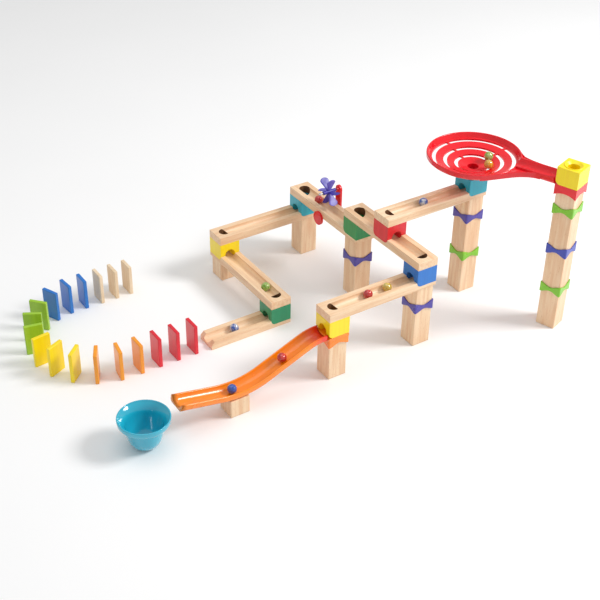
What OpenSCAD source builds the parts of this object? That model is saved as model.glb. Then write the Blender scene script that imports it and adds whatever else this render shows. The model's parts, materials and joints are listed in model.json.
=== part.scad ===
// Marble run: wooden posts, coloured blocks and grooved rails on one stacking unit, with a
// funnel, a windmill, a drop slide, a catch cup and a trail of dominoes.
// Millimetres, +Z up. X runs along the short rails, Y along the long row of rails.
// Origin: middle of the footprint, on the floor.

/* [Blocks and posts] */
// Width of a coloured block
block_w = 40; // [38:0.5:42]
// Height of a coloured block
block_h = 32; // [30:0.5:34]
// Width of a post
post_w = 35; // [33:0.5:36]
// Diameter of the marble holes and tunnels
bore_d = 20; // [19:0.5:21]
// Height of a tunnel's crown above the block's underside
arch_h = 18; // [17:0.5:20]
// Height of the low post under the slide
low_post_h = 32.4; // [28:0.2:32.4]

/* [Rails] */
// Distance between the hole at one end and the block at the other
rail_pitch = 176; // [172:1:180]
// Full height of a rail
rail_h = 15; // [14.5:0.5:16]
// Thickness of the tongue that a block stands on
tongue_t = 7; // [6.5:0.5:8]
// Height of the groove's lowest line above the rail's underside
groove_z = 5.5; // [5:0.5:6.5]
// Length of the rail on the floor, past the block's middle
floor_run = 140; // [130:1:144]
// Bevel at the open end of the floor rail
end_bevel = 6; // [3:0.5:8]

/* [Collars] */
// Outside width of a collar
collar_w = 39; // [38:0.5:40]
// Height of a collar at its corners
collar_h = 19; // [16:0.5:22]
// Height of a collar in the middle of a side
collar_mid = 7; // [5:0.5:9]

/* [Funnel] */
// Radius of the funnel's rim
bowl_r = 83; // [80:0.5:85]
// Height of the bowl's middle above the block below
bowl_low = 15; // [13:0.5:17]
// Height of the bowl's edge above the block below
bowl_edge = 32.5; // [31:0.5:34]
// Height of the rim above the block below
bowl_rim = 39.5; // [38:0.5:41]
// Wall thickness of the funnel and the slide
wall_t = 2.6; // [2.2:0.2:3.2]
// Width of the slots in the bowl
slot_w = 6.5; // [5:0.5:7]
// Distance from the funnel's block to the start tower
start_reach = 185; // [182:1:188]
// Turn of the start tower about its own axis
start_turn = 19; // [17:0.5:21]

/* [Slide] */
// Width of the slide and of the funnel's arm
chute_w = 36; // [34:0.5:38]
// Height of the chute's rims above its floor
chute_rim = 8; // [7:0.5:9]
// Steepness of the slide's middle part
slide_slope = 22; // [21:0.5:23]
// Lift of the slide's lip
lip_slope = 11.5; // [9:0.5:12]
// Radius of the upper bend
bend_top_r = 80; // [70:1:90]
// Radius of the lower bend
bend_low_r = 150; // [140:1:160]
// Height of the slide's lowest point
slide_low = 35; // [35:0.2:36]

/* [Windmill] */
// Distance of the windmill from the green block
mill_at = 96; // [90:1:104]
// Height of the windmill's axle above the rail's underside
mill_h = 45.5; // [45.5:0.5:50]
// Radius of the sails
sail_r = 28; // [24:0.5:28]
// Radius of the axle
axle_r = 1.5; // [1.4:0.05:1.6]

/* [Cup] */
// Radius of the cup's rim
cup_r = 42; // [40:0.5:44]
// Height of the cup
cup_h = 54; // [50:0.5:58]
// Wall of the cup
cup_wall = 2.6; // [2:0.2:3]
// Gap between the slide's lip and the cup's rim
cup_gap = 12; // [8:1:14]

/* [Marbles and dominoes] */
// Diameter of a marble
marble_d = 16; // [15.5:0.1:16.5]
// Width of a domino
domino_w = 32; // [28:0.5:34]
// Height of a domino
domino_h = 57; // [50:0.5:60]
// Thickness of a domino
domino_t = 6.5; // [6:0.25:7.5]
// Distance between dominoes on the first straight
domino_pitch = 34; // [32:0.5:34]
// Radius of the turn in the domino trail
trail_r = 112; // [110:0.5:116]

/* [Hidden] */
$fn = 96;
gap = 0.1;                    // air between stacked posts
seat = 0.15;                  // air between a moving piece and what it rolls on
unit = block_h + tongue_t;    // one storey
saddle_r = rail_h - tongue_t; // round seat at a rail's tongue, and a block's rounded foot
bore_r = bore_d / 2;
mr = marble_d / 2;
L = rail_pitch;

// Towers, measured from the blue tower
t1 = [L + start_reach * sin(start_turn), L / 2 - start_reach * cos(start_turn)];
t2 = [L, L / 2];
t3 = [0, L];
t4 = [0, 0];
t5 = [0, 2 * L];
t6 = [-L, 2 * L];
tf = [-L, L];
t7 = [-L, 0];
mill_y = L + mill_at;

// Domino trail: straight, half turn, straight
n_dom = 18;
trail_x = -343;
trail_run = 119;
trail_steps = [0, 1, 2, 3, 4.01, 5.09, 6.16, 7.23, 8.28, 9.33, 10.38, 11.44, 12.5, 13.5,
  14.41, 15.32, 16.18, 17];
function dom_s(i) = trail_steps[i] * domino_pitch;
function dom_turn(i) = min(max((dom_s(i) - trail_run) / trail_r, 0), PI) * 180 / PI;
function dom_tail(i) = max(dom_s(i) - trail_run - PI * trail_r, 0);
function dom_x(i) = trail_x - min(dom_s(i), trail_run) - trail_r * sin(dom_turn(i))
                    + dom_tail(i);
function dom_y(i) = L + trail_r - trail_r * cos(dom_turn(i));
function dom_heading(i) = 180 - dom_turn(i);

// Footprint, for the origin
x_lo = min([for (i = [0 : n_dom - 1]) dom_x(i) - abs(sin(dom_heading(i))) * domino_w / 2
            - abs(cos(dom_heading(i))) * domino_t / 2]);
x_hi = t1[0] + block_w / 2 * (cos(start_turn) + sin(start_turn));
y_lo = t1[1] - block_w / 2 * (cos(start_turn) + sin(start_turn));
y_hi = L + 2 * trail_r + domino_w / 2;
mid = [(x_lo + x_hi) / 2, (y_lo + y_hi) / 2];

// Slide line, in the vertical plane through the slide tower
sx0 = -L - block_w / 2;                       // face of the block
sz0 = 2 * unit + tongue_t - 2.5;              // floor at the block
b1 = [sx0 - 4, sz0 - bend_top_r];             // centre of the upper bend
e1 = [b1[0] - bend_top_r * sin(slide_slope), b1[1] + bend_top_r * cos(slide_slope)];
b2z = slide_low + bend_low_r;
s2z = b2z - bend_low_r * cos(slide_slope);
s2x = e1[0] - (e1[1] - s2z) / tan(slide_slope);
b2 = [s2x - bend_low_r * sin(slide_slope), b2z];
e2 = [b2[0] - bend_low_r * sin(lip_slope), b2z - bend_low_r * cos(lip_slope)];
lip_x = -468;
lip_len = (e2[0] - lip_x) / cos(lip_slope);
cup_x = lip_x - cup_gap - cup_r;

// ---- placing --------------------------------------------------------------------------
module at(p, z = 0, turn = 0) {
  translate([p[0] - mid[0], p[1] - mid[1], z]) rotate([0, 0, turn]) children();
}

// ---- shared shapes --------------------------------------------------------------------
module side_extrude(w) rotate([90, 0, 0]) linear_extrude(w, center = true) children();

// A block with tunnels towards +X, and towards -X too if both is true
module block(both = false) {
  r = saddle_r + 0.3;
  w = block_w;
  difference() {
    side_extrude(w) {
      translate([-w / 2, r]) square([w, block_h - r]);
      translate([both ? -w / 2 + r : -w / 2, 0]) square([both ? w - 2 * r : w - r, r]);
      translate([w / 2 - r, r]) circle(r);
      if (both) translate([-w / 2 + r, r]) circle(r);
    }
    translate([0, 0, -1]) cylinder(r = bore_r, h = block_h + 2);
    tunnel();
    if (both) rotate([0, 0, 180]) tunnel();
  }
}
module tunnel() {
  translate([0, 0, arch_h - bore_r]) rotate([0, 90, 0]) cylinder(r = bore_r, h = block_w);
  translate([0, -bore_r, -1]) cube([block_w, bore_d, arch_h - bore_r + 1]);
}

// The seat that a block's rounded foot stands in, as a cut in a rail's side view
module saddle_cut(reach) {
  translate([saddle_r, tongue_t]) square([reach, rail_h]);
  translate([saddle_r, rail_h]) circle(saddle_r);
}
module groove(len, z = groove_z) {
  translate([0, 0, z + bore_r]) rotate([0, 90, 0]) cylinder(r = bore_r, h = len);
}

// A rail: hole at x = 0, tongue under a block at x = L
module rail() {
  difference() {
    side_extrude(block_w) difference() {
      translate([-block_w / 2, 0]) square([L + block_w, rail_h]);
      translate([L - block_w / 2, 0]) saddle_cut(block_w);
    }
    groove(L);
    translate([L, 0, groove_z + bore_r]) sphere(r = bore_r);
    translate([0, 0, -1]) cylinder(r = bore_r, h = rail_h + 2);
  }
}
// A rail with a hole at each end and a seat for a block in the middle
module double_rail() {
  difference() {
    side_extrude(block_w) difference() {
      translate([-block_w / 2, 0]) square([L + block_w, rail_h]);
      translate([L / 2 - block_w / 2, 0]) saddle_cut(block_w - 2 * saddle_r);
      translate([L / 2 + block_w / 2 - 2 * saddle_r, 0]) translate([0, rail_h]) circle(saddle_r);
      translate([L / 2 + block_w / 2 - saddle_r, rail_h]) circle(saddle_r);
    }
    groove(L);
    for (x = [0, L]) translate([x, 0, -1]) cylinder(r = bore_r, h = rail_h + 2);
  }
}
// The rail on the floor: open at x = 0, tongue under a block at x = floor_run
module floor_rail() {
  difference() {
    side_extrude(block_w) difference() {
      square([floor_run + block_w / 2, rail_h]);
      translate([floor_run - block_w / 2, 0]) saddle_cut(block_w);
      polygon([[-1, rail_h - end_bevel - 1], [-1, rail_h + 1], [end_bevel + 1, rail_h + 1]]);
    }
    translate([-1, 0, 0]) groove(floor_run + 1);
    translate([floor_run, 0, groove_z + bore_r]) sphere(r = bore_r);
  }
}

// A stack of posts, tall ones below, standing on z = 0
module stack(n_tall, short_top) {
  for (i = [0 : 1 : n_tall - 1]) post(i * 2 * unit, 2 * unit - gap);
  if (short_top) post(n_tall * 2 * unit, unit - (n_tall > 0 ? gap / 2 : 0));
}
module post(z, h) translate([-post_w / 2, -post_w / 2, z]) cube([post_w, post_w, h]);

// A square sleeve with hollow-cut edges, centred on z = 0
module sleeve_cuts(w, mid_half, top) {
  rise = collar_h / 2 - collar_mid / 2;
  r = (pow(w / 2, 2) + pow(rise, 2)) / (2 * rise);
  for (a = [0, 90]) rotate([0, 0, a]) rotate([90, 0, 0])
    translate([0, top * (mid_half + r), 0]) cylinder(r = r, h = w + 2, center = true);
}
module collar() {
  difference() {
    translate([-collar_w / 2, -collar_w / 2, -collar_h / 2]) cube([collar_w, collar_w, collar_h]);
    translate([-post_w / 2 - gap, -post_w / 2 - gap, -collar_h])
      cube([post_w + 2 * gap, post_w + 2 * gap, 2 * collar_h]);
    sleeve_cuts(collar_w, collar_mid / 2, 1);
    sleeve_cuts(collar_w, collar_mid / 2, -1);
  }
}
// Base plate of the funnel and the slide: a plate on a post, with a hollow-cut skirt
module base_plate() {
  drop = collar_h / 2 + 3;
  difference() {
    translate([-block_w / 2, -block_w / 2, -drop]) cube([block_w, block_w, drop + tongue_t]);
    translate([-post_w / 2 - gap, -post_w / 2 - gap, -drop - 1])
      cube([post_w + 2 * gap, post_w + 2 * gap, drop + 1]);
    translate([0, 0, -3]) sleeve_cuts(block_w, collar_mid / 2, -1);
  }
}

// Chute section: floor at 0, hollow of radius 12 on each side of a flat strip
function chute_half(h) = 3 + sqrt(144 - pow(12 - h, 2));
foot_c = 6;
inner_half = chute_half(chute_rim);
rim_r = (chute_w / 2 - inner_half) / 2;
module chute_outer() {
  w = chute_w / 2;
  translate([-w + foot_c, -wall_t]) square([2 * w - 2 * foot_c, foot_c + 1]);
  translate([-w, foot_c - wall_t]) square([2 * w, chute_rim + wall_t - foot_c]);
  for (s = [-1, 1]) {
    translate([s * (w - foot_c), foot_c - wall_t]) circle(foot_c);
    translate([s * (w - rim_r), chute_rim]) circle(rim_r);
  }
}
module chute_inner(top) {
  translate([-3, 0]) square([6, top]);
  for (s = [-3, 3]) translate([s, 12]) intersection() {
    circle(12);
    translate([-12, -12]) square([24, top]);
  }
}

// Slide: stations [x, z, downward slope], from the block's face to the lip
slide_line = concat([[sx0 - 0.2, sz0, 0]],
  [for (i = [0 : 8]) let (a = slide_slope * i / 8)
    [b1[0] - bend_top_r * sin(a), b1[1] + bend_top_r * cos(a), a]],
  [for (i = [0 : 18]) let (a = slide_slope - (slide_slope + lip_slope) * i / 18)
    [b2[0] + bend_low_r * sin(a), b2z - bend_low_r * cos(a), a]],
  [[lip_x, e2[1] + (e2[0] - lip_x) * tan(lip_slope), -lip_slope]]);
function slide_pts(k) = [for (t = slide_line) [t[0] - k * sin(t[2]), t[1] + k * cos(t[2])]];
function backwards(p) = [for (i = [len(p) - 1 : -1 : 0]) p[i]];

// ---- towers ---------------------------------------------------------------------------
beech = [0.91, 0.78, 0.60];
yellow = [0.97, 0.82, 0.08];
teal = [0.00, 0.60, 0.70];
red = [0.86, 0.08, 0.13];
green = [0.10, 0.58, 0.32];
blue = [0.05, 0.38, 0.68];
orange = [0.95, 0.46, 0.10];
purple = [0.29, 0.20, 0.56];
lime = [0.50, 0.70, 0.16];

module posts_start_tower() color(beech) at(t1, 0, start_turn) stack(3, true);
module posts_funnel_tower() color(beech) at(t2) stack(2, true);
module posts_green_tower() color(beech) at(t3) stack(1, true);
module posts_blue_tower() color(beech) at(t4) stack(1, true);
module post_teal_tower() color(beech) at(t5) stack(1, false);
module post_yellow_tower() color(beech) at(t6) stack(0, true);
module post_slide_head() color(beech) at(t7) stack(1, false);
module post_slide_foot() color(beech) at([b2[0], 0]) post(0, low_post_h);

module collars_green() color(lime) {
  for (n = [2, 6]) at(t1, n * unit, start_turn) collar();
  at(t2, 2 * unit) collar();
}
module collars_purple() color(purple) {
  at(t1, 4 * unit, start_turn) collar();
  at(t2, 4 * unit) collar();
  at(t3, 2 * unit) collar();
  at(t4, 2 * unit) collar();
}

module block_start_yellow() color(yellow) at(t1, 7 * unit + tongue_t, start_turn) {
  rotate([0, 0, 90]) difference() {
    union() {
      block();
      translate([0, 0, block_h - 1]) cylinder(r = bore_r + 6, h = 2.2);
    }
    translate([0, 0, block_h - 3]) cylinder(r1 = bore_r - 1, r2 = bore_r + 5, h = 4.21);
    translate([0, 0, block_h - 10]) cylinder(r = bore_r, h = 20);
  }
}
module block_funnel_teal() color(teal) at(t2, 5 * unit + tongue_t, 180) block();
module block_junction_red() color(red) at([0, L / 2], 4 * unit + tongue_t, 90) block(true);
module block_green() color(green) at(t3, 3 * unit + tongue_t, 90) block();
module block_blue() color(blue) at(t4, 3 * unit + tongue_t, 180) block();
module block_teal() color(teal) at(t5, 2 * unit + tongue_t, 180) block();
module block_yellow() color(yellow) at(t6, unit + tongue_t, -90) block();
module block_floor_green() color(green) at(tf, tongue_t, 180) block();
module block_slide_yellow() color(yellow) at(t7, 2 * unit + tongue_t, 180) block();

// ---- rails ----------------------------------------------------------------------------
module rail_upper() color(beech) at([0, L / 2], 5 * unit) rail();
module rail_double() color(beech) at(t4, 4 * unit, 90) double_rail();
module rail_windmill() color(beech) at(t5, 3 * unit, -90) rail();
module rail_short_level() color(beech) at(t6, 2 * unit) rail();
module rail_descent() color(beech) at(tf, unit, 90) rail();
module rail_to_slide() color(beech) at(t7, 3 * unit) rail();
module rail_floor() color(beech) at([tf[0] - floor_run, tf[1]]) floor_rail();

// ---- funnel ---------------------------------------------------------------------------
rings = [30, 49.5, 69.5];
module bowl_section() {
  polygon([[bore_r, 0], [14.5, 0], [14.5, bowl_low - 1.6], [bowl_r - 3, bowl_edge - 2.2],
    [bowl_r, bowl_rim - 6], [bowl_r, bowl_rim], [bowl_r - 3.5, bowl_rim],
    [bowl_r - 7, bowl_edge], [bore_r, bowl_low]]);
  translate([bowl_r - 1.75, bowl_rim]) circle(1.75);
}
// A ring slot, parted by four bridges with hollow sides
module arc_slot(r) {
  end_r = slot_w / 2 + 0.6;
  half = 1.3 + end_r;
  difference() {
    rotate_extrude($fn = 180) translate([r - slot_w / 2, 2]) square([slot_w, bowl_rim]);
    for (a = [0 : 90 : 270]) rotate([0, 0, a]) difference() {
      translate([r - slot_w, -half, 1]) cube([2 * slot_w, 2 * half, bowl_rim + 2]);
      for (s = [-1, 1]) translate([sqrt(r * r - half * half), s * half, 0])
        cylinder(r = end_r, h = bowl_rim + 4);
    }
  }
}
arm_turn = 11.5;  // how far the arm swings towards the bowl's side
arm_dip = 7.6;   // how steeply the arm runs down
arm_len = 112;
// Arm from the start tower's plate to the bowl, meeting it along its rim
module arm(len) at(t1, 7 * unit + tongue_t - 1.6, start_turn)
  translate([0, block_w / 2 + 0.2, 0]) rotate([0, 0, -arm_turn]) rotate([-arm_dip, 0, 0])
    rotate([90, 0, 180]) linear_extrude(len) children();
module funnel_red() color(red) {
  difference() {
    union() {
      difference() {
        at(t2, 6 * unit) rotate_extrude($fn = 180) bowl_section();
        at(t2, 6 * unit) for (r = rings) arc_slot(r);
      }
      difference() {
        arm(arm_len) chute_outer();
        at(t2, 6 * unit) cylinder(r = bowl_r - 2, h = 60);
      }
    }
    arm(arm_len + 28) chute_inner(22);
    at(t1, 7 * unit + tongue_t, start_turn) translate([-block_w, -block_w, 0])
      cube([2 * block_w, 1.5 * block_w + seat, 40]);
  }
  at(t1, 7 * unit, start_turn) {
    base_plate();
    translate([-chute_w / 2 + 5, block_w / 2 - 1, tongue_t - 3.9])
      cube([chute_w - 10, 3, 2]);
  }
}

// ---- slide ----------------------------------------------------------------------------
module slide_orange() color(orange) {
  at(t7, 2 * unit) {
    base_plate();
    translate([-block_w / 2 - 2, -chute_w / 2 + 5, 2.2]) cube([3, chute_w - 10, 2]);
  }
  at([0, 0]) difference() {
    side_extrude(chute_w)
      polygon(concat(slide_pts(-wall_t), backwards(slide_pts(chute_rim + rim_r))));
    side_extrude(2 * inner_half - 1)
      polygon(concat([[sx0 + 5, sz0]], slide_pts(0),
        [[lip_x - 9, sz0 / 2], [lip_x - 9, sz0 + 20], [sx0 + 5, sz0 + 30]]));
  }
}

// ---- windmill -------------------------------------------------------------------------
mill_z = 3 * unit + mill_h;
module along_x(x0, x1, r) translate([x0, 0, 0]) rotate([0, 90, 0]) cylinder(r = r, h = x1 - x0);
module windmill_holder() color(red) at([0, mill_y], 3 * unit) {
  side = block_w / 2 + seat;
  difference() {
    union() {
      translate([0, 0, -3]) along_x(-side - 4.2, -side, 13);
      translate([-side - 3, -8, -3 - seat]) cube([2 * side + 7, 16, 3]);
      translate([side, -7.5, -3 - seat]) cube([4.5, 15, mill_h + 3 + seat]);
      translate([0, 0, mill_h]) along_x(side, side + 4.5, 7.5);
      translate([0, 0, mill_h]) along_x(side - 3.5, side + 1, 4);
    }
    translate([0, 0, mill_h]) along_x(side - 6, side + 6, axle_r);
  }
}
module windmill_axle() color([0.7, 0.7, 0.72]) at([0, mill_y], mill_z) {
  along_x(-20, block_w / 2 + 4.4, axle_r);
  translate([-20, 0, 0]) sphere(r = axle_r + 0.9);
}
module windmill_sails() color(purple) at([0, mill_y], mill_z) difference() {
  union() {
    along_x(-13, 14, 3.6);
    for (a = [46 : 60 : 346]) rotate([a, 0, 0]) sail();
  }
  along_x(-30, 30, axle_r + 0.06);
}
// A petal in the plane of the axle, reaching out along Y
module sail() {
  tip = 7.4;
  translate([0, 0, -0.8]) linear_extrude(1.6) {
    translate([0, sail_r - tip]) circle(tip);
    polygon([[-2.6, 2], [2.6, 2], [tip - 0.2, sail_r - tip - 1.6],
      [-tip + 0.2, sail_r - tip - 1.6]]);
  }
}

// ---- cup ------------------------------------------------------------------------------
function bez(p, t) = pow(1 - t, 3) * p[0] + 3 * t * pow(1 - t, 2) * p[1]
                     + 3 * t * t * (1 - t) * p[2] + t * t * t * p[3];
cup_out = [[14, 0], [27, 6], [29, 22], [31, cup_h - 14]];
cup_flare = [[31, cup_h - 14], [32, cup_h - 10], [35, cup_h - 8], [cup_r - 1.6, cup_h - 8]];
cup_in = [[6, 4], [25, 6], [26.5, 24], [30, cup_h - 13]];
cup_bell = [[30, cup_h - 13], [32, cup_h - 7], [36, cup_h - 3], [cup_r - cup_wall, cup_h]];
module catch_cup() color([0.02, 0.62, 0.74]) at([cup_x, 0]) rotate_extrude($fn = 180) {
  steps = 10;
  polygon(concat([[0, 0]], [for (i = [0 : steps]) bez(cup_out, i / steps)],
    [for (i = [1 : 5]) bez(cup_flare, i / 5)], [[cup_r, cup_h]],
    [for (i = [6 : -1 : 1]) bez(cup_bell, i / 6)],
    [for (i = [steps : -1 : 0]) bez(cup_in, i / steps)], [[0, 4]]));
  translate([cup_r - cup_wall / 2, cup_h]) circle(cup_wall / 2);
}

// ---- dominoes -------------------------------------------------------------------------
module domino(i) at([dom_x(i), dom_y(i)], 0, dom_heading(i))
  translate([-domino_t / 2, -domino_w / 2, 0]) cube([domino_t, domino_w, domino_h]);

module domino_red_1() color(red) domino(0);
module domino_red_2() color(red) domino(1);
module domino_red_3() color(red) domino(2);
module domino_orange_1() color(orange) domino(3);
module domino_orange_2() color(orange) domino(4);
module domino_orange_3() color(orange) domino(5);
module domino_yellow_1() color(yellow) domino(6);
module domino_yellow_2() color(yellow) domino(7);
module domino_yellow_3() color(yellow) domino(8);
module domino_lime_1() color(lime) domino(9);
module domino_lime_2() color(lime) domino(10);
module domino_lime_3() color(lime) domino(11);
module domino_blue_1() color(blue) domino(12);
module domino_blue_2() color(blue) domino(13);
module domino_blue_3() color(blue) domino(14);
module domino_natural_1() color(beech) domino(15);
module domino_natural_2() color(beech) domino(16);
module domino_natural_3() color(beech) domino(17);

// ---- marbles --------------------------------------------------------------------------
module marble(p, z) at(p, z) sphere(r = mr);
function on_rail(level) = level * unit + groove_z + mr + seat;
bowl_tilt = atan((bowl_edge - bowl_low) / (bowl_r - 7 - bore_r));
function bowl_z(r) = 6 * unit + bowl_low + (r - bore_r) * tan(bowl_tilt)
                     + (mr + seat) / cos(bowl_tilt);
swirl_r = 30;
module marble_bowl_green() color([0.55, 0.7, 0.3])
  marble(t2 + swirl_r * [cos(-10), sin(-10)], bowl_z(swirl_r));
module marble_bowl_yellow() color([0.9, 0.7, 0.2])
  marble(t2 + swirl_r * [cos(-72), sin(-72)], bowl_z(swirl_r));
module marble_upper_white() color([0.85, 0.88, 0.92]) marble([70, L / 2], on_rail(5));
module marble_windmill_red() color([0.85, 0.2, 0.1]) marble([0, L + 128], on_rail(3));
module marble_lower_yellow() color([0.9, 0.7, 0.1]) marble([-68, 0], on_rail(3));
module marble_lower_red() color([0.8, 0.1, 0.15]) marble([-107, 0], on_rail(3));
slope_at = 44;
slide_red = [e1[0] - slope_at * cos(slide_slope) - (mr + seat) * sin(slide_slope),
             e1[1] - slope_at * sin(slide_slope) + (mr + seat) * cos(slide_slope)];
module marble_slide_red() color([0.8, 0.1, 0.15]) marble([slide_red[0], 0], slide_red[1]);
low_at = 2;
module marble_slide_blue() color([0.1, 0.2, 0.6])
  marble([b2[0] - (bend_low_r - mr - seat) * sin(low_at), 0],
    b2z - (bend_low_r - mr - seat) * cos(low_at));
module marble_descent_green() color([0.7, 0.8, 0.2]) marble([-L, L + 32], on_rail(1));
module marble_floor_white() color([0.85, 0.88, 0.92]) marble([-L - 84, L], on_rail(0));

posts_start_tower();
posts_funnel_tower();
posts_green_tower();
posts_blue_tower();
post_teal_tower();
post_yellow_tower();
post_slide_head();
post_slide_foot();
collars_green();
collars_purple();
block_start_yellow();
block_funnel_teal();
block_junction_red();
block_green();
block_blue();
block_teal();
block_yellow();
block_floor_green();
block_slide_yellow();
rail_upper();
rail_double();
rail_windmill();
rail_short_level();
rail_descent();
rail_to_slide();
rail_floor();
funnel_red();
slide_orange();
windmill_holder();
windmill_axle();
windmill_sails();
catch_cup();
domino_red_1();
domino_red_2();
domino_red_3();
domino_orange_1();
domino_orange_2();
domino_orange_3();
domino_yellow_1();
domino_yellow_2();
domino_yellow_3();
domino_lime_1();
domino_lime_2();
domino_lime_3();
domino_blue_1();
domino_blue_2();
domino_blue_3();
domino_natural_1();
domino_natural_2();
domino_natural_3();
marble_bowl_green();
marble_bowl_yellow();
marble_upper_white();
marble_windmill_red();
marble_lower_yellow();
marble_lower_red();
marble_slide_red();
marble_slide_blue();
marble_descent_green();
marble_floor_white();
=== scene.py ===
"""Looks for a wooden marble run: beech posts and grooved rails, stained blocks, moulded
collars, funnel, drop slide, catch cup, windmill, dominoes and glass marbles.
Lengths in the code are millimetres until they reach a mesh, which is in metres."""
import json
import math

import bmesh
import bpy
import numpy as np
from mathutils import Euler, Matrix, Vector


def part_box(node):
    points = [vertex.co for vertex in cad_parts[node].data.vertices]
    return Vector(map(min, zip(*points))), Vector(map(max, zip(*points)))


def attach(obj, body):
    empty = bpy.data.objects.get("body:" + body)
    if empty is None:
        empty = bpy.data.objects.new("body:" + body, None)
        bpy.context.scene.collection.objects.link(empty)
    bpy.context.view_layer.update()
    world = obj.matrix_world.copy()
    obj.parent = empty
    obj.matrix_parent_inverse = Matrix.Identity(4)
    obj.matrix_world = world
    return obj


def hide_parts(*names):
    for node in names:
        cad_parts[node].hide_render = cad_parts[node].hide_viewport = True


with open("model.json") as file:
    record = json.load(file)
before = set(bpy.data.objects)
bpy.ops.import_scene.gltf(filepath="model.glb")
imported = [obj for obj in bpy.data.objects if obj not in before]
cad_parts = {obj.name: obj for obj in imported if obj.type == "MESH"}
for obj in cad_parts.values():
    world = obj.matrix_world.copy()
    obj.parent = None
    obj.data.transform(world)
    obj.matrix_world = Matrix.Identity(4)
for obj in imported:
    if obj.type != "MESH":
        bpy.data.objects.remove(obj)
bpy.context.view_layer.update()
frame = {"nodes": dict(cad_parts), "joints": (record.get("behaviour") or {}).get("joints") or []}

MM = 0.001
RUN = "run"


# ---- materials ------------------------------------------------------------------------
def linear(code, alpha=1.0):
    """sRGB hex to linear: c/12.92 below 0.04045, else ((c + 0.055)/1.055) to the 2.4."""
    c = np.array([int(code[i:i + 2], 16) for i in (1, 3, 5)]) / 255
    c = np.where(c <= 0.04045, c / 12.92, ((c + 0.055) / 1.055) ** 2.4)
    return (*c.tolist(), alpha)


def add(tree, kind, settings=None, links=None):
    """Adds one shader node, with its settings by attribute or socket, and its links."""
    made = tree.nodes.new(kind)
    for key, value in (settings or {}).items():
        if isinstance(key, str) and hasattr(made, key):
            setattr(made, key, value)
        else:
            made.inputs[key].default_value = value
    for key, value in (links or {}).items():
        tree.links.new(value, made.inputs[key])
    return made


def start(name, **shader):
    """A new material, its tree, and a Principled shader with constant values set."""
    mat = bpy.data.materials.new(name)
    mat.use_nodes = True
    tree = mat.node_tree
    bsdf = tree.nodes["Principled BSDF"]
    for key, value in shader.items():
        bsdf.inputs[key.replace("_", " ")].default_value = value
    return mat, tree, bsdf


def mix(tree, factor, a, b, how="MIX"):
    """Colour a towards colour b by factor; a and b are sockets or hex codes."""
    made = add(tree, "ShaderNodeMix", {"data_type": "RGBA", "blend_type": how})
    for index, value in ((0, factor), (6, a), (7, b)):
        if isinstance(value, str):
            made.inputs[index].default_value = linear(value)
        elif isinstance(value, float):
            made.inputs[index].default_value = value
        else:
            tree.links.new(value, made.inputs[index])
    return made.outputs[2]


def stretch(tree, value, low, high, to_low=0.0, to_high=1.0):
    """Maps low..high of a value to to_low..to_high, smoothly and within its ends."""
    made = add(tree, "ShaderNodeMapRange", {"interpolation_type": "SMOOTHSTEP"})
    for index, number in ((1, low), (2, high), (3, to_low), (4, to_high)):
        made.inputs[index].default_value = number
    tree.links.new(value, made.inputs[0])
    return made.outputs[0]


def grain_noise(tree, place, board, across, along, axis, detail=3.0):
    """Noise drawn out along the fibres: one cell is `across` mm wide and `along` mm long."""
    size = [1 / (across * MM)] * 3
    size[axis] = 1 / (along * MM)
    mapped = add(tree, "ShaderNodeMapping", {"Scale": size}, {"Vector": place})
    return add(tree, "ShaderNodeTexNoise",
               {"noise_dimensions": "4D", "Scale": 1.0, "Detail": detail, "Roughness": 0.55},
               {"Vector": mapped.outputs[0], "W": board}).outputs["Fac"]


def wood(name, axis, light, dark, fleck, rough, coat, strength=1.0):
    """Beech under lacquer or stain. Year bands 5 mm wide run along the axis, fine fibres
    lie between them, and short brown ray flecks about 1 by 5 mm give beech its look."""
    mat, tree, bsdf = start(name, Roughness=rough, Coat_Weight=coat, Coat_Roughness=0.25,
                            IOR=1.5)
    place = add(tree, "ShaderNodeTexCoord").outputs["Object"]
    board_node = add(tree, "ShaderNodeAttribute", {"attribute_name": "board"})
    shift = add(tree, "ShaderNodeMath", {"operation": "MULTIPLY", 1: 37.0},
                {0: board_node.outputs["Fac"]}).outputs[0]
    bands = grain_noise(tree, place, shift, 6.0, 90.0, axis, 2.0)
    fibres = grain_noise(tree, place, shift, 1.3, 30.0, axis, 4.0)
    flecks = grain_noise(tree, place, shift, 1.1, 5.5, axis, 1.0)
    tone = stretch(tree, bands, 0.36, 0.66, 0.0, 0.75 * strength)
    colour = mix(tree, tone, light, dark)
    colour = mix(tree, stretch(tree, fibres, 0.45, 0.72, 0.0, 0.45 * strength), colour, dark)
    colour = mix(tree, stretch(tree, flecks, 0.63, 0.74, 0.0, 0.5 * strength), colour, fleck)
    colour = mix(tree, stretch(tree, board_node.outputs["Fac"], 0.0, 1.0, 0.0, 0.35 * strength),
                 colour, dark)
    tree.links.new(colour, bsdf.inputs["Base Color"])
    bump = add(tree, "ShaderNodeBump", {"Strength": 0.35, "Distance": 0.06 * MM},
               {"Height": fibres})
    tree.links.new(bump.outputs[0], bsdf.inputs["Normal"])
    return mat


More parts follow.
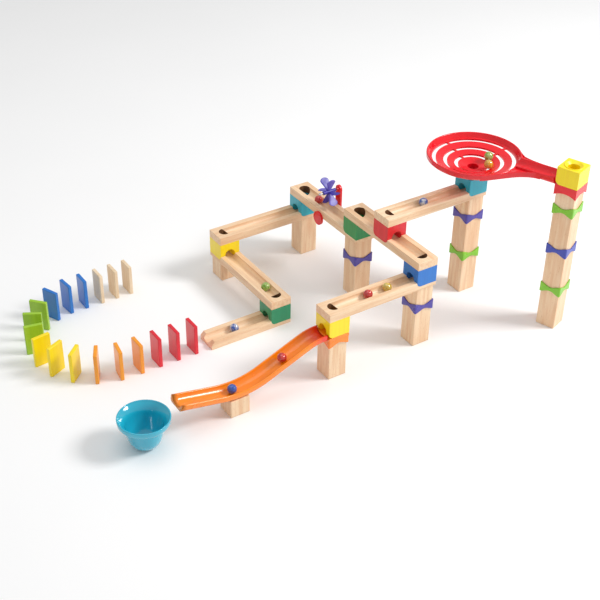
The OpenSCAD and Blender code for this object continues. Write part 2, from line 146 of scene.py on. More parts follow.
def moulded(name, colour, deeper, rough=0.3, coat=0.25, mottle=14.0):
    """Injection-moulded ABS. The mould's spark finish is a fine bump of 0.8 mm cells, and
    slow flow marks change the colour and the gloss a little over `mottle` mm."""
    mat, tree, bsdf = start(name, Coat_Weight=coat, Coat_Roughness=0.12, IOR=1.53,
                            Subsurface_Weight=0.0)
    place = add(tree, "ShaderNodeTexCoord").outputs["Object"]
    flow = add(tree, "ShaderNodeTexNoise", {"Scale": 1 / (mottle * MM), "Detail": 2.0},
               {"Vector": place}).outputs["Fac"]
    spark = add(tree, "ShaderNodeTexNoise", {"Scale": 1 / (0.8 * MM), "Detail": 1.0},
                {"Vector": place}).outputs["Fac"]
    tree.links.new(mix(tree, stretch(tree, flow, 0.3, 0.7, 0.0, 0.6), colour, deeper),
                   bsdf.inputs["Base Color"])
    tree.links.new(stretch(tree, flow, 0.2, 0.8, rough * 0.85, rough * 1.2),
                   bsdf.inputs["Roughness"])
    bump = add(tree, "ShaderNodeBump", {"Strength": 0.15, "Distance": 0.02 * MM},
               {"Height": spark})
    tree.links.new(bump.outputs[0], bsdf.inputs["Normal"])
    return mat


BEECH = dict(light="#F8DDBA", dark="#E6B88C", fleck="#BC8656", rough=0.42, coat=0.15)
beech_up = wood("lacquered_beech_upright", 2, **BEECH)
beech_x = wood("lacquered_beech_along_x", 0, **BEECH)
beech_y = wood("lacquered_beech_along_y", 1, **BEECH)


def stained(name, light, dark, axis=2):
    """Beech block under an opaque water stain and satin lacquer: the grain only just shows."""
    return wood(name, axis, light, dark, dark, 0.34, 0.3, 0.55)


stain = {
    "yellow": stained("stained_beech_yellow", "#FFE608", "#F6D200"),
    "teal": stained("stained_beech_teal", "#08B4CC", "#04A0B8"),
    "red": stained("stained_beech_red", "#E80C2A", "#C80620"),
    "green": stained("stained_beech_green", "#0E9A4E", "#067F3E"),
    "floor_green": stained("stained_beech_bottle_green", "#1F9A68", "#128055"),
    "blue": stained("stained_beech_blue", "#0878D2", "#0466BA"),
    "orange": stained("stained_beech_orange", "#FAA31E", "#F28A10"),
    "lime": stained("stained_beech_lime", "#A6D02C", "#8ABB1E"),
    "natural": wood("sanded_beech_tile", 2, "#F1DCBE", "#E0C198", "#C29A6C", 0.5, 0.05, 0.8),
}
abs_lime = moulded("abs_lime", "#84CC20", "#72BC18")
abs_purple = moulded("abs_purple", "#4B3FA6", "#3E3396")
abs_blue = moulded("abs_ultramarine", "#3246B4", "#2A3AA2")
abs_red = moulded("abs_signal_red", "#EE0B20", "#DC0618", 0.24, 0.2, 22.0)
cup_teal = moulded("polystyrene_teal", "#22B4CE", "#14A2C0", 0.12, 1.0, 30.0)


# ---- meshes ---------------------------------------------------------------------------
def piece(name, parts, material, body=RUN, replaces=(), board=None):
    """One piece from (points, faces) parts in mm; points is an array, faces index it."""
    points, faces, boards = [], [], []
    count = 0
    for index, (p, f) in enumerate(parts):
        points.append(np.asarray(p, float).reshape(-1, 3) * MM)
        faces += [[i + count for i in face] for face in f]
        boards.append(np.full(len(points[-1]), board[index] if board else 0.5))
        count += len(points[-1])
    mesh = bpy.data.meshes.new(name)
    mesh.from_pydata(np.concatenate(points).tolist(), [], faces)
    mesh.attributes.new("board", "FLOAT", "POINT").data.foreach_set(
        "value", np.concatenate(boards).astype(np.float32))
    tidy = bmesh.new()
    tidy.from_mesh(mesh)
    bmesh.ops.remove_doubles(tidy, verts=tidy.verts, dist=1e-7)
    bmesh.ops.recalc_face_normals(tidy, faces=tidy.faces)
    tidy.to_mesh(mesh)
    tidy.free()
    return finish_piece(bpy.data.objects.new(name, mesh), material, body, replaces)


def finish_piece(obj, material, body, replaces):
    """Links a piece, shades it smooth by face area, and ties it to its body and node."""
    bpy.context.scene.collection.objects.link(obj)
    for m in material if isinstance(material, (list, tuple)) else [material]:
        obj.data.materials.append(m)
    obj.data.polygons.foreach_set("use_smooth", np.ones(len(obj.data.polygons), bool))
    obj.modifiers.new("even_shade", "WEIGHTED_NORMAL").keep_sharp = True
    for node in replaces:
        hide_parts(node)
    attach(obj, body)
    return obj


def grid(p, wrap_u=False, wrap_v=False, cap=False):
    """Faces for a grid of points p[u, v]; a wrapped direction closes on itself, and cap
    closes the first and last row, each of which is then a ring."""
    m, n = p.shape[:2]
    u = np.arange(m if wrap_u else m - 1)[:, None]
    v = np.arange(n if wrap_v else n - 1)[None, :]
    u2, v2 = (u + 1) % m, (v + 1) % n
    corners = [u * n + v, u2 * n + v, u2 * n + v2, u * n + v2]
    faces = np.stack([np.broadcast_to(c, (len(u), v.shape[1])) for c in corners], -1)
    faces = faces.reshape(-1, 4).tolist()
    if cap:
        faces += [list(range(n))[::-1], list(range((m - 1) * n, m * n))]
    return p.reshape(-1, 3), faces


def turned(p, degrees, centre=(0, 0)):
    """Points turned about the vertical line through centre."""
    a = math.radians(degrees)
    spin = np.array([[math.cos(a), -math.sin(a), 0], [math.sin(a), math.cos(a), 0], [0, 0, 1]])
    return p @ spin.T + np.array([*centre, 0])


def rounded_block(size, radius, steps=3):
    """A box with rounded edges: each point is a corner of the box shrunk by the radius,
    plus the radius times the direction (cos e cos a, cos e sin a, sin e)."""
    half = np.array(size) / 2 - radius
    quarter = np.linspace(0, math.pi / 2, steps + 1)
    a = (np.arange(4)[:, None] * math.pi / 2 + quarter).ravel()
    sx = np.repeat([1, -1, -1, 1], steps + 1)
    sy = np.repeat([1, 1, -1, -1], steps + 1)
    e = np.concatenate([quarter - math.pi / 2, quarter])[:, None]
    sz = np.repeat([-1, 1], steps + 1)[:, None]
    one = np.ones_like(a)
    return np.stack([sx * half[0] + radius * np.cos(e) * np.cos(a),
                     sy * half[1] + radius * np.cos(e) * np.sin(a),
                     (sz * half[2] + radius * np.sin(e)) * one], -1)


def lathe(profile, steps=96):
    """A closed profile of (radius, height) turned once round the vertical axis."""
    profile = np.asarray(profile, float)
    a = np.linspace(0, 2 * math.pi, steps, endpoint=False)[:, None]
    return np.stack([profile[:, 0] * np.cos(a), profile[:, 0] * np.sin(a),
                     profile[:, 1] * np.ones_like(a)], -1)


def cubic(control, t):
    """Points of a cubic Bezier curve at the shares t: sum of B_k(t) P_k."""
    c, t = np.asarray(control, float), t[:, None]
    return ((1 - t) ** 3 * c[0] + 3 * t * (1 - t) ** 2 * c[1] + 3 * t * t * (1 - t) * c[2]
            + t ** 3 * c[3])


def bezier(control, steps):
    """Evenly shared points of a cubic Bezier curve, without its last point."""
    return cubic(control, np.linspace(0, 1, steps, endpoint=False))


def box_mm(node):
    """Lowest and highest corner of a CAD node, in mm."""
    low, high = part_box(node)
    return np.array(low) / MM, np.array(high) / MM


def middle(node):
    low, high = box_mm(node)
    return (low + high) / 2


# ---- posts ----------------------------------------------------------------------------
POST, STOREY = 35.0, 39.0
START_TURN = 19.0
towers = {"posts_start_tower": START_TURN, "posts_funnel_tower": 0, "posts_green_tower": 0,
          "posts_blue_tower": 0, "post_teal_tower": 0, "post_yellow_tower": 0,
          "post_slide_head": 0, "post_slide_foot": 0}
tone = np.random.default_rng(7)
for node, turn in towers.items():
    centre, top = middle(node), box_mm(node)[1][2]
    starts = np.arange(0, top - 1, 2 * STOREY)
    ends = np.minimum(starts + 2 * STOREY - 0.1, top)
    parts = []
    for z0, z1 in zip(starts, ends):
        p = rounded_block((POST, POST, z1 - z0), 1.6)
        parts.append(grid(turned(p + [0, 0, (z0 + z1) / 2], turn, centre[:2]), wrap_v=True,
                          cap=True))
    piece("beech_" + node, parts, beech_up, replaces=[node],
          board=tone.uniform(0, 1, len(parts)).tolist())


# ---- blocks and rails: the CAD shape with eased edges ------------------------------------
BEVEL_FROM = 32.0    # degrees: flatter edges, such as those round a bore, stay as they are
BORE_REACH = 10.2    # mm: a bore's wall lies 10 mm from its axis


def paint_shade_in_bores(mesh, axes):
    """Paints shade into each drilled hole: every face whose corners all lie within BORE_REACH
    of one of the upright axes takes the second material, a dark beech standing for shade."""
    points = np.empty(len(mesh.vertices) * 3, np.float32)
    mesh.vertices.foreach_get("co", points)
    x, y, _ = points.reshape(-1, 3).T / MM
    corner = np.empty(len(mesh.loops), np.int32)
    mesh.loops.foreach_get("vertex_index", corner)
    first = np.empty(len(mesh.polygons), np.int32)
    mesh.polygons.foreach_get("loop_start", first)
    inside = np.zeros(len(first), bool)
    for ax, ay in axes:
        inside |= np.maximum.reduceat(np.hypot(x - ax, y - ay)[corner], first) < BORE_REACH
    mesh.polygons.foreach_set("material_index", inside.astype(np.int32))


def eased(node, name, material, ease, board=0.5, bores=()):
    """The node's own shape with its long edges rounded by `ease` mm, as sanding leaves it.
    The loose triangles are merged and flat areas made one face, so that the bevel runs
    along real edges only. With bores, `material` holds the wood's and the painted shade for the
    bores' walls."""
    mesh = frame["nodes"][node].data.copy()
    mesh.name = name
    mesh.materials.clear()
    tidy = bmesh.new()
    tidy.from_mesh(mesh)
    bmesh.ops.remove_doubles(tidy, verts=tidy.verts, dist=2e-6)
    bmesh.ops.dissolve_limit(tidy, angle_limit=math.radians(0.4), verts=tidy.verts,
                             edges=tidy.edges, delimit=set())
    tidy.to_mesh(mesh)
    tidy.free()
    if mesh.has_custom_normals:
        mesh.attributes.remove(mesh.attributes["custom_normal"])
    mesh.attributes.new("board", "FLOAT", "POINT").data.foreach_set(
        "value", np.full(len(mesh.vertices), board, np.float32))
    obj = bpy.data.objects.new(name, mesh)
    if bores:
        # painted shade on the walls of the bores
        paint_shade_in_bores(mesh, bores)
    bevel = obj.modifiers.new("sanded_edges", "BEVEL")
    bevel.width, bevel.segments = ease * MM, 2
    bevel.limit_method, bevel.angle_limit = "ANGLE", math.radians(BEVEL_FROM)
    bevel.use_clamp_overlap = True
    return finish_piece(obj, material, RUN, [node])


for node, colour, slot in (
        ("block_start_yellow", "yellow", "beech_yellow"),
        ("block_funnel_teal", "teal", "beech_teal"),
        ("block_junction_red", "red", "beech_red"), ("block_green", "green", "beech_green"),
        ("block_blue", "blue", "beech_blue"), ("block_teal", "teal", "beech_teal"),
        ("block_yellow", "yellow", "beech_yellow"),
        ("block_floor_green", "floor_green", "beech_green"),
        ("block_slide_yellow", "yellow", "beech_yellow")):
    eased(node, "stained_" + node, stain[colour], 1.1, float(tone.uniform()))
# Painted shade for the walls of a drilled hole: a dark beech that stands for the shade deep in the
# hole
bore_painted_shade = wood("painted_bore_shade", 2, "#7A5434", "#5C3C22", "#4A2E1A", 0.6, 0.0)
block_axes = [tuple(middle(node)[:2]) for node in (
    "block_junction_red", "block_green", "block_blue", "block_teal", "block_yellow",
    "block_floor_green", "block_slide_yellow")]
# Each rail's second material is the painted shade for its bores
for node, material in (("rail_upper", beech_x), ("rail_double", beech_y),
                       ("rail_windmill", beech_y), ("rail_short_level", beech_x),
                       ("rail_descent", beech_y), ("rail_to_slide", beech_x),
                       ("rail_floor", beech_x)):
    eased(node, "beech_" + node, [material, bore_painted_shade], 1.2,
          float(tone.uniform()), bores=block_axes)


# ---- collars and base plates ------------------------------------------------------------
def square_ring(width, radius, side_steps=16, corner_steps=5):
    """A closed square path with rounded corners, and each point's distance along its side."""
    reach = width / 2 - radius
    corner = np.linspace(0, math.pi / 2, corner_steps)
    x = np.concatenate([reach + radius * np.cos(corner),
                        np.linspace(reach, -reach, side_steps)[1:-1]])
    y = np.concatenate([reach + radius * np.sin(corner), np.full(side_steps - 2, width / 2)])
    turns = [np.stack([x, y], 1)]
    for _ in range(3):
        turns.append(turns[-1] @ np.array([[0, 1], [-1, 0]]))
    path = np.concatenate(turns)
    return path, np.minimum(np.abs(path[:, 0]), np.abs(path[:, 1]))


def wave(s, half_width, rise):
    """Height gained from the middle of a side to its corner: rise (1 - cos(pi s / w)) / 2."""
    return rise * (1 - np.cos(math.pi * np.minimum(s, half_width) / half_width)) / 2


def sleeve(width, wall, low, low_rise, high, high_rise, ease=0.5):
    """A square sleeve: eight rings round its wall, each at a share of the height between
    its wavy lower and upper edges, with the four long edges eased."""
    rings = []
    for inset, t in ((0, 1), (0, 0), (ease, 0), (wall - ease, 0), (wall, 0), (wall, 1),
                     (wall - ease, 1), (ease, 1)):
        path, s = square_ring(width - 2 * inset, max(2.4 - inset, 0.4))
        bottom = low - wave(s, width / 2, low_rise)
        top = high + wave(s, width / 2, high_rise)
        nudge = ease if inset in (0, wall) else 0
        z = bottom + nudge if t == 0 else top - nudge
        rings.append(np.stack([path[:, 0], path[:, 1], z], 1))
    return np.stack(rings, 1)


COLLAR = dict(width=39.0, wall=1.9, low=-3.5, low_rise=6.0, high=3.5, high_rise=6.0)


def collar_parts(places):
    """One collar for each (centre, turn, height of the joint between two posts)."""
    return [grid(turned(sleeve(**COLLAR) + [0, 0, z], turn, centre), wrap_u=True, wrap_v=True)
            for centre, turn, z in places]


start_at, funnel_at = middle("posts_start_tower")[:2], middle("posts_funnel_tower")[:2]
green_at, blue_at = middle("posts_green_tower")[:2], middle("posts_blue_tower")[:2]
piece("lime_collars", collar_parts([(start_at, START_TURN, 2 * STOREY),
                                    (start_at, START_TURN, 6 * STOREY),
                                    (funnel_at, 0, 2 * STOREY)]),
      abs_lime, replaces=["collars_green"])
piece("purple_collars", collar_parts([(funnel_at, 0, 4 * STOREY), (green_at, 0, 2 * STOREY),
                                      (blue_at, 0, 2 * STOREY)]),
      abs_purple, replaces=["collars_purple"])
piece("ultramarine_collar", collar_parts([(start_at, START_TURN, 4 * STOREY)]), abs_blue,
      replaces=["collars_purple"])


def base_plate_parts(centre, turn, level):
    """A plate 7 mm thick under a block, and the wavy skirt that grips the post below it."""
    plate = rounded_block((40, 40, 7), 1.2) + [0, 0, 3.5]
    skirt = sleeve(40.0, 2.3, -6.5, 6.0, 1.0, 0)
    return [grid(turned(plate + [0, 0, level], turn, centre), wrap_v=True, cap=True),
            grid(turned(skirt + [0, 0, level], turn, centre), wrap_u=True, wrap_v=True)]


# ---- dominoes ---------------------------------------------------------------------------
TILE = (6.5, 32.0, 57.0)
joints = {j["name"]: j for j in frame["joints"]}
for colour in ("red", "orange", "yellow", "lime", "blue", "natural"):
    for k in (1, 2, 3):
        node = f"domino_{colour}_{k}"
        j = joints[node + "_topple"]
        heading = math.atan2(-j["axis"][0], j["axis"][1])
        foot = np.array(j["pos_m"][:2]) / MM
        foot -= np.array([math.cos(heading), math.sin(heading)]) * TILE[0] / 2
        p = turned(rounded_block(TILE, 1.1) + [0, 0, TILE[2] / 2], math.degrees(heading), foot)
        slot = "beech" if colour == "natural" else "beech_" + colour
        piece(f"tile_{colour}_{k}", [grid(p, wrap_v=True, cap=True)], stain[colour],
              body=node + "_body", replaces=[node], board=[float(tone.uniform())])


# ---- marbles ----------------------------------------------------------------------------
def glass(name, tint, band, clearness=0.5):
    """Soda-lime glass, polished: part clear and part milky, with bands of a second colour
    drawn out by the melt about 6 mm apart."""
    mat, tree, bsdf = start(name, Transmission_Weight=clearness, IOR=1.52, Roughness=0.04,
                            Coat_Weight=1.0, Coat_Roughness=0.02)
    place = add(tree, "ShaderNodeTexCoord").outputs["Object"]
    melt = add(tree, "ShaderNodeTexNoise", {"Scale": 1 / (6 * MM), "Detail": 1.0},
               {"Vector": place}).outputs["Fac"]
    tree.links.new(mix(tree, stretch(tree, melt, 0.3, 0.7), tint, band),
                   bsdf.inputs["Base Color"])
    return mat


def ribbon_glass(name, colour, streak):
    """Opaque coloured glass drawn out inside a marble, streaked along its twist."""
    mat, tree, bsdf = start(name, Roughness=0.2, IOR=1.52)
    place = add(tree, "ShaderNodeTexCoord").outputs["Object"]
    streaks = add(tree, "ShaderNodeTexNoise", {"Scale": 1 / (2.5 * MM), "Detail": 2.0},
                  {"Vector": place}).outputs["Fac"]
    tree.links.new(mix(tree, stretch(tree, streaks, 0.35, 0.65), colour, streak),
                   bsdf.inputs["Base Color"])
    return mat


def ball(centre, radius, steps=40):
    """A sphere: radius times (cos e cos a, cos e sin a, sin e)."""
    e = np.linspace(-math.pi / 2, math.pi / 2, steps)[:, None]
    a = np.linspace(0, 2 * math.pi, 2 * steps, endpoint=False)
    p = np.stack([np.cos(e) * np.cos(a), np.cos(e) * np.sin(a), np.sin(e) * np.ones_like(a)], -1)
    return p * radius + centre


def vane(centre, radius, start_angle, tilt, twist=2.2, steps=20):
    """A twisted leaf of glass: across s and along t it lies at radius * s * sqrt(1 - t^2),
    turned by twist * t, with a thickness that fades to its edges."""
    t = np.linspace(-0.96, 0.96, steps)[:, None]
    around = np.linspace(0, 2 * math.pi, 16, endpoint=False)
    wide = radius * 0.80 * np.sqrt(1 - t * t)
    x = wide * np.cos(around)
    y = (0.07 * radius + 0 * t) * np.sin(around)
    turn = start_angle + twist * t
    p = np.stack([x * np.cos(turn) - y * np.sin(turn), x * np.sin(turn) + y * np.cos(turn),
                  radius * 0.84 * t + 0 * x], -1)
    lean = np.array(Euler((tilt, tilt * 0.7, 0)).to_matrix())
    return p @ lean.T + centre


clear = glass("clear_glass", "#2A62C8", "#FFFFFF", 0.35)
red_glass = glass("ruby_glass", "#E8202C", "#FF5A50")
blue_glass = glass("cobalt_glass", "#1A4CC8", "#5C8CF0")
green_glass = glass("pale_green_glass", "#90D824", "#ECFCA0")
amber_glass = glass("amber_glass", "#FFC814", "#FFF08A")
marbles = {
    "marble_bowl_green": (green_glass, ("#3E8F2E", "#7CC23A"), "glass_green", 3),
    "marble_bowl_yellow": (amber_glass, ("#F2A90C", "#F7C62A"), "glass_amber", 3),
    "marble_upper_white": (clear, ("#1F4FB4", "#F4F6F8"), "glass_white", 3),
    "marble_windmill_red": (red_glass, ("#D8261E", "#F05A2A"), "glass_red", 2),
    "marble_lower_yellow": (amber_glass, ("#F2CE10", "#FBE63A"), "glass_amber", 3),
    "marble_lower_red": (red_glass, ("#DC2A1C", "#F25A34"), "glass_red", 3),
    "marble_slide_red": (red_glass, ("#C01A20", "#E83A34"), "glass_red", 2),
    "marble_slide_blue": (blue_glass, ("#123A8C", "#2A62C8"), "glass_blue", 2),
    "marble_descent_green": (green_glass, ("#6CB420", "#C8E03A"), "glass_green", 3),
    "marble_floor_white": (clear, ("#1A48AC", "#F4F6F8"), "glass_white", 3),
}
for k, (node, (shell, colours, slot, leaves)) in enumerate(marbles.items()):
    low, high = box_mm(node)
    centre, radius = (low + high) / 2, 8.0
    piece(node + "_glass", [grid(ball(centre, radius), wrap_v=True)], shell,
          body=node + "_body", replaces=[node])
    ribbons = [grid(vane(centre, radius, math.pi * i / leaves, 0.5 + 0.7 * k), wrap_v=True,
                    cap=True) for i in range(leaves)]
    piece(node + "_ribbons", ribbons, ribbon_glass("ribbon_" + node, *colours),
          body=node + "_body")

# ---- catch cup --------------------------------------------------------------------------
cup_low, cup_high = box_mm("catch_cup")
cup_at = (cup_low + cup_high) / 2
cup_profile = np.concatenate([
    [[0, 1.2], [9, 1.2], [10.5, 0]], bezier([[14, 0], [27, 6], [29, 22], [31, 40]], 18),
    bezier([[31, 40], [32, 44], [35, 46], [40.4, 46]], 8),
    bezier([[40.4, 46], [41.8, 46.4], [42, 50], [42, 54]], 6),
    bezier([[42, 54], [42, 55.7], [39.4, 55.7], [39.4, 54]], 7),
    bezier([[39.4, 54], [36, 51], [32, 47], [30, 41]], 8),
    bezier([[30, 41], [26.5, 24], [25, 6], [6, 4]], 18), [[0, 4]]])
piece("cup_of_polystyrene",
      [grid(lathe(cup_profile, 128) + [cup_at[0], cup_at[1], 0], wrap_u=True)],
      cup_teal, body="cup", replaces=["catch_cup"])

# ---- slide ------------------------------------------------------------------------------
head_at = middle("post_slide_head")[:2]
foot_x = middle("post_slide_foot")[0]
WALL, HOLLOW, RIM = 2.6, 12.0, 8.0
CHUTE = 36.0


def chute_section(width=CHUTE, rim=RIM):
    """Closed section (across, up): flat underside with rounded corners, rounded rims, and a
    hollow made of two arcs of radius 12 with a flat strip between them."""
    half = width / 2
    strip = half - 15.0
    mouth = strip + math.sqrt(HOLLOW ** 2 - (HOLLOW - rim) ** 2)
    edge = (half - mouth) / 2
    low = np.linspace(-math.pi / 2, 0, 7)
    top = np.linspace(0, math.pi, 9)
    inner = np.linspace(-math.asin((HOLLOW - rim) / HOLLOW), -math.pi / 2, 14)[1:]
    x = np.concatenate([half - 6 + 6 * np.cos(low), half - edge + edge * np.cos(top),
                        strip + HOLLOW * np.cos(inner)])
    y = np.concatenate([6 - WALL + 6 * np.sin(low), rim + edge * np.sin(top),
                        HOLLOW + HOLLOW * np.sin(inner)])
    return np.concatenate([np.stack([x, y], 1), np.stack([-x[::-1], y[::-1]], 1)])


def slide_line():
    """Stations (x, z, slope): level at the block, an arc of radius 80 down to 22 degrees,
    a straight slope, an arc of radius 150 up to 11.5 degrees, and the lip."""
    x0, z0 = head_at[0] - 20, 2 * STOREY + 7 - 2.5
    steep, lip = math.radians(22), math.radians(11.5)
    r1, r2, low = 80.0, 150.0, 35.0
    a = np.linspace(0, steep, 12)
    upper = np.stack([x0 - 4 - r1 * np.sin(a), z0 - r1 + r1 * np.cos(a), a], 1)
    b = np.linspace(steep, -lip, 30)
    z2 = low + r2
    lower = np.stack([foot_x + r2 * np.sin(b), z2 - r2 * np.cos(b), b], 1)
    ends = upper[-1] + (lower[0] - upper[-1]) * np.linspace(0, 1, 10)[1:-1, None]
    lip_x = box_mm("slide_orange")[0][0] + 1.6
    run = lower[-1][0] - lip_x
    tail = [[lower[-1][0] - run * k, lower[-1][1] + run * k * math.tan(lip), -lip]
            for k in np.linspace(0, 1, 9)[1:]]
    return np.concatenate([[[x0 - 0.2, z0, 0]], upper, ends, lower, tail])


line = slide_line()
section = chute_section()
lean_s, lean_c = np.sin(line[:, 2])[:, None], np.cos(line[:, 2])[:, None]
up = section[None, :, 1]
chute = np.stack([line[:, 0:1] - up * lean_s, head_at[1] + section[None, :, 0] + 0 * lean_s,
                  line[:, 1:2] + up * lean_c], -1)
neck = rounded_block((6, 26, 2.2), 0.6) + [head_at[0] - 20, head_at[1], 2 * STOREY + 3.2]


def slide_plastic_shaded_red():
    """Orange ABS as the other mouldings, with red painted shade by the block, where the
    chute runs out of the tunnel."""
    mat = moulded("abs_orange", "#FF8C06", "#F97E02", 0.24, 0.5, 26.0)
    tree = mat.node_tree
    bsdf = tree.nodes["Principled BSDF"]
    place = add(tree, "ShaderNodeTexCoord").outputs["Object"]
    along = add(tree, "ShaderNodeSeparateXYZ", {}, {"Vector": place}).outputs["X"]
    # Painted shade: the orange turns red over the 40 mm of chute by the block
    red_shade_share = stretch(tree, along, (head_at[0] - 62) * MM, (head_at[0] - 22) * MM)
    base = bsdf.inputs["Base Color"].links[0].from_socket
    tree.links.new(mix(tree, red_shade_share, base, "#EC2A18"), bsdf.inputs["Base Color"])
    return mat


abs_orange = moulded("abs_orange_plate", "#FF8C06", "#F97E02", 0.24, 0.5, 26.0)
piece("slide_chute", [grid(chute, wrap_v=True, cap=True)], slide_plastic_shaded_red(),
      replaces=["slide_orange"])
piece("slide_base_plate",
      base_plate_parts(head_at, 0, 2 * STOREY) + [grid(neck, wrap_v=True, cap=True)],
      abs_orange, replaces=["slide_orange"])

# ---- windmill ---------------------------------------------------------------------------
mill = Vector(joints["windmill_spin"]["pos_m"]) / MM
PETAL_ROOT, PETAL_REACH = 3.0, 28.0     # mm from the pin's axis
TIP_FROM = 0.74                         # share of the length where the round tip begins


def petal(angle):
    """A leaf of moulded plastic, 1.6 mm thick with rounded edges. Its half width grows from
    3 mm at the hub to 9 mm as t ** 1.1, and closes like a circle at its tip."""
    round_off = TIP_FROM + (1 - TIP_FROM) * np.sin(np.linspace(0, math.pi / 2, 12)[1:])
    t = np.concatenate([np.linspace(0, TIP_FROM, 12), round_off])
    body = 3.0 + 6.0 * np.clip(t / TIP_FROM, 0, 1) ** 1.1
    past = np.clip(t - TIP_FROM, 0, 1) / (1 - TIP_FROM)
    tip = np.sqrt(np.clip(1 - past ** 2, 0.0004, 1))
    half = (body * tip)[:, None]
    around = np.linspace(0, 2 * math.pi, 20, endpoint=False)
    across = np.sign(np.cos(around)) * np.abs(np.cos(around)) ** 0.5 * half
    thick = 0.8 * np.sign(np.sin(around)) * np.abs(np.sin(around)) ** 0.6 * np.minimum(half, 1)
    out = (PETAL_ROOT + (PETAL_REACH - PETAL_ROOT) * t)[:, None] + 0 * across
    c, s = math.cos(angle), math.sin(angle)
    return np.stack([across, out * c - thick * s, out * s + thick * c], -1) + np.array(mill)


petals = [petal(math.radians(46 + 60 * k)) for k in range(6)]


def tinted(name, colour, deeper, clearness):
    """Polystyrene tinted in the melt: satin, and a petal lets a little light through."""
    mat = moulded(name, colour, deeper, 0.42, 0.05, 9.0)
    mat.node_tree.nodes["Principled BSDF"].inputs["Transmission Weight"].default_value = clearness
    return mat


# Lit and shaded copies of one violet: the lilac one is painted light, the deep one painted shade
violet_painted_shade = tinted("polystyrene_violet_painted_shade", "#3E30A8", "#30249A", 0.05)
violet_painted_light = tinted("polystyrene_violet_painted_light", "#7468D4", "#6458C6", 0.1)
# Alternate petals take the painted shade and the painted light
for name, chosen, finish in (("sails_painted_shade", petals[::2], violet_painted_shade),
                             ("sails_painted_light", petals[1::2], violet_painted_light)):
    piece(name, [grid(p, wrap_v=True, cap=True) for p in chosen], finish, body="windmill",
          replaces=["windmill_sails"])


def along_x(profile, centre, steps=48):
    """A closed profile of (x, radius) turned once round an axis parallel to X."""
    profile = np.asarray(profile, float)
    a = np.linspace(0, 2 * math.pi, steps, endpoint=False)[:, None]
    return np.stack([profile[:, 0] + 0 * a, profile[:, 1] * np.cos(a), profile[:, 1] * np.sin(a)],
                    -1) + np.array(centre)


hub = [[-13, 1.6], [-13, 3.1], [-12.5, 3.6], [13.5, 3.6], [14, 3.1], [14, 1.6]]
# The hub takes the deep violet with painted shade
piece("sails_hub", [grid(along_x(hub, mill), wrap_u=True, wrap_v=True)], violet_painted_shade,
      body="windmill", replaces=["windmill_sails"])
eased("windmill_holder", "holder_of_windmill", abs_red, 0.8)


def bright_steel():
    """Drawn steel wire: fine lines round the pin, 0.4 mm apart, break up the gloss."""
    mat, tree, bsdf = start("drawn_steel", Metallic=1.0)
    place = add(tree, "ShaderNodeTexCoord").outputs["Object"]
    fine = add(tree, "ShaderNodeMapping", {"Scale": (1 / (0.4 * MM), 200, 200)}, {"Vector": place})
    lines = add(tree, "ShaderNodeTexNoise", {"Scale": 1.0}, {"Vector": fine.outputs[0]})
    tree.links.new(mix(tree, lines.outputs["Fac"], "#C9CBCF", "#9EA2A8"), bsdf.inputs["Base Color"])
    tree.links.new(stretch(tree, lines.outputs["Fac"], 0.3, 0.7, 0.22, 0.38),
                   bsdf.inputs["Roughness"])
    return mat


pin = [[-22.4, 0.02], [-22.1, 1.2], [-21.2, 2.1], [-20, 2.4], [-18.6, 2.0], [-18.1, 1.5],
       [24.0, 1.5], [24.4, 1.1], [24.4, 0.02]]
piece("windmill_pin", [grid(along_x(pin, mill), wrap_u=True)], bright_steel(),
      replaces=["windmill_axle"])

# ---- funnel -----------------------------------------------------------------------------
eased("funnel_red", "funnel_moulding", abs_red, 0.5)

# The arm heads 7.5 degrees from +Y towards -X, so its direction is (-sin, cos) of that
ARM_DIR = np.array([-0.1305, 0.9914])
ARM_SIDE = np.array([0.9914, 0.1305])            # its right hand
ARM_FOOT = start_at + np.array([-6.58, 19.10])   # middle of the block's face
ARM_WALL, ARM_HALF = 17.0, 18.2             # middle of the arm's wall, and past its side
ARM_TOP, ARM_FALL = 287.7, 0.1334           # height of its rim at the block, fall per mm
BOWL_R, BOWL_EDGE = 81.3, 1.7               # middle of the bowl's wall, and on to its edge
BOWL_TOP = 6 * STOREY + 41.0


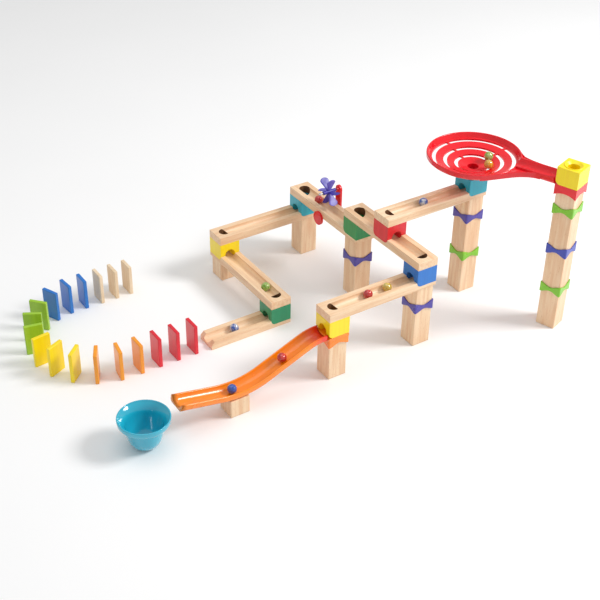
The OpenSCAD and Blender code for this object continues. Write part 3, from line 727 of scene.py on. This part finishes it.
def web(side, leave, join, pull):
    """A web that widens the arm into the bowl. For each share t its section runs from an
    inner line, along the arm's wall and then the bowl's wall, to a cubic Bezier that leaves
    the arm at `leave` mm and touches the bowl's rim at angle `join`; `pull` is the length
    of the curve's two handles."""
    bowl = np.array([(funnel_at - ARM_FOOT) @ ARM_DIR, (funnel_at - ARM_FOOT) @ ARM_SIDE])
    steps = np.linspace(0, 1, 40)
    wall_y = side * ARM_WALL
    meet = math.atan2(wall_y - bowl[1], -math.sqrt(BOWL_R ** 2 - (wall_y - bowl[1]) ** 2))
    meet, join = meet % (2 * math.pi), join % (2 * math.pi)
    corner = bowl[0] + BOWL_R * math.cos(meet)
    straight = corner - leave
    around = BOWL_R * abs(join - meet)
    run = steps * (straight + around)
    angle = meet + np.sign(join - meet) * np.clip(run - straight, 0, None) / BOWL_R
    inner = np.where((run < straight)[:, None],
                     np.stack([leave + run, np.full(len(run), wall_y)], 1),
                     bowl + BOWL_R * np.stack([np.cos(angle), np.sin(angle)], 1))
    end = bowl + (BOWL_R + BOWL_EDGE) * np.array([math.cos(join), math.sin(join)])
    tangent = side * np.array([-math.sin(join), math.cos(join)])
    tangent *= np.sign(tangent[0]) or 1
    start_point = np.array([leave, side * ARM_HALF])
    control = [start_point, start_point + [pull, 0], end - pull * tangent, end]
    outer = cubic(control, steps)
    # Section from the inner line over the rim and back underneath: share of the way out,
    # and millimetres below the rim
    share = np.array([0, 0.35, 0.72, 0.86, 0.95, 1, 1, 0.97, 0.9, 0.84, 0.78, 0.4, 0])
    drop = np.array([2.2, 3.4, 2.6, 0.9, 0.1, 0.9, 9.6, 10.4, 10.4, 9.4, 6.4, 6.6, 6.4])
    flat = inner[:, None] + share[None, :, None] * (outer - inner)[:, None]
    top = np.maximum(BOWL_TOP, ARM_TOP - ARM_FALL * flat[..., 0])
    place = ARM_FOOT + flat[..., :1] * ARM_DIR + flat[..., 1:] * ARM_SIDE
    return np.concatenate([place, (top - drop)[..., None]], -1)


piece("funnel_webs", [grid(web(-1, 28, math.radians(221), 34), wrap_v=True, cap=True),
                      grid(web(1, 50, math.radians(128), 16), wrap_v=True, cap=True)],
      abs_red)


# ---- setting ----------------------------------------------------------------------------
def paper():
    """White studio paper: almost even, with a faint cloudiness."""
    mat, tree, bsdf = start("studio_paper", Roughness=0.85, IOR=1.3)
    place = add(tree, "ShaderNodeTexCoord").outputs["Object"]
    cloud = add(tree, "ShaderNodeTexNoise", {"Scale": 3.0}, {"Vector": place}).outputs["Fac"]
    tree.links.new(mix(tree, cloud, "#FCFCFC", "#F8F8F8"), bsdf.inputs["Base Color"])
    return mat


floor_mesh = bpy.data.meshes.new("studio_floor")
floor_mesh.from_pydata([(-9, -9, 0), (9, -9, 0), (9, 9, 0), (-9, 9, 0)], [], [(0, 1, 2, 3)])
floor = bpy.data.objects.new("studio_floor", floor_mesh)
floor.data.materials.append(paper())
bpy.context.scene.collection.objects.link(floor)

world = bpy.data.worlds.new("soft_room")
world.use_nodes = True
world.node_tree.nodes["Background"].inputs["Color"].default_value = (1, 1, 1, 1)
world.node_tree.nodes["Background"].inputs["Strength"].default_value = 0.52
bpy.context.scene.world = world


def softbox(name, place, aim, size, watts):
    """A square area light at a place, turned towards its aim."""
    data = bpy.data.lights.new(name, "AREA")
    data.size, data.energy = size, watts
    lamp = bpy.data.objects.new(name, data)
    lamp.location = place
    lamp.rotation_euler = (Vector(aim) - Vector(place)).to_track_quat("-Z", "Y").to_euler()
    bpy.context.scene.collection.objects.link(lamp)


softbox("key", (1.9, -1.3, 2.1), (0, 0, 0), 0.9, 62)
softbox("top", (-0.4, 0.2, 3.0), (0, 0, 0), 2.4, 20)

camera = bpy.data.objects.new("camera", bpy.data.cameras.new("camera"))
camera.data.lens, camera.data.sensor_width = 70.5, 36.0
yaw, pitch, roll = (math.radians(a) for a in (33.69, 34.31, 0.965))
camera.matrix_world = (Matrix.Translation((-0.9226, -1.4203, 1.2080))
                       @ Matrix.Rotation(-yaw, 4, "Z")
                       @ Matrix.Rotation(math.pi / 2 - pitch, 4, "X")
                       @ Matrix.Rotation(roll, 4, "Z"))
camera.data.clip_start, camera.data.clip_end = 0.05, 50
bpy.context.scene.collection.objects.link(camera)
bpy.context.scene.camera = camera
bpy.context.scene.view_settings.view_transform = "Standard"
